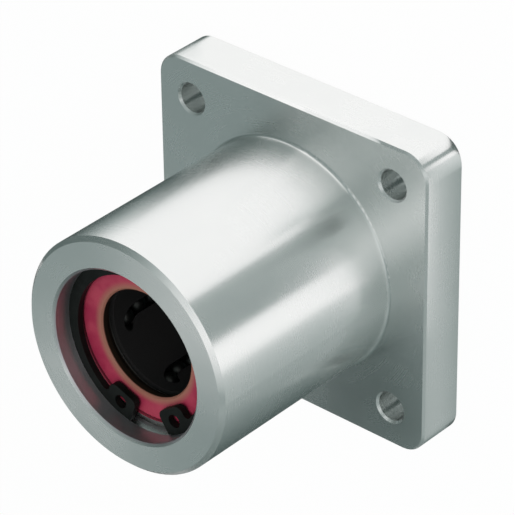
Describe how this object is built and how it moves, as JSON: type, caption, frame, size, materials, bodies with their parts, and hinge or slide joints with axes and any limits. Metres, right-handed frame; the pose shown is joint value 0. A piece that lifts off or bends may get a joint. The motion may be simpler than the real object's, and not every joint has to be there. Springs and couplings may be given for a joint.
{
  "type": "flanged linear bearing",
  "caption": "Square-flanged linear ball bearing: a machined housing with a round nose holds a sealed recirculating ball bushing between internal retaining rings and slides along a shaft.",
  "frame": {"origin": "on the shaft axis, in the flange's flat mounting face", "axes": "+Z along the shaft axis, from the mounting face towards the round nose; X and Y along the flange's sides"},
  "size_m": [0.06, 0.06, 0.052],
  "materials": {
    "housing_alloy": "satin machined",
    "bearing_steel": "ground",
    "ball_steel": "polished",
    "black_spring_steel": "black phosphate",
    "seal_rubber": "matt",
    "retainer_polymer": "matt"
  },
  "bodies": {
    "root": {"flanged_housing": "housing_alloy", "bushing_sleeve": "bearing_steel", "ball_retainer": "retainer_polymer", "front_end_ring": "bearing_steel", "rear_end_ring": "bearing_steel", "front_seal": "seal_rubber", "rear_seal": "seal_rubber", "front_retaining_ring": "black_spring_steel", "rear_retaining_ring": "black_spring_steel", "loaded_balls_1": "ball_steel", "return_balls_1": "ball_steel", "loaded_balls_2": "ball_steel", "return_balls_2": "ball_steel", "loaded_balls_3": "ball_steel", "return_balls_3": "ball_steel", "loaded_balls_4": "ball_steel", "return_balls_4": "ball_steel", "loaded_balls_5": "ball_steel", "return_balls_5": "ball_steel"}
  },
  "joints": []
}
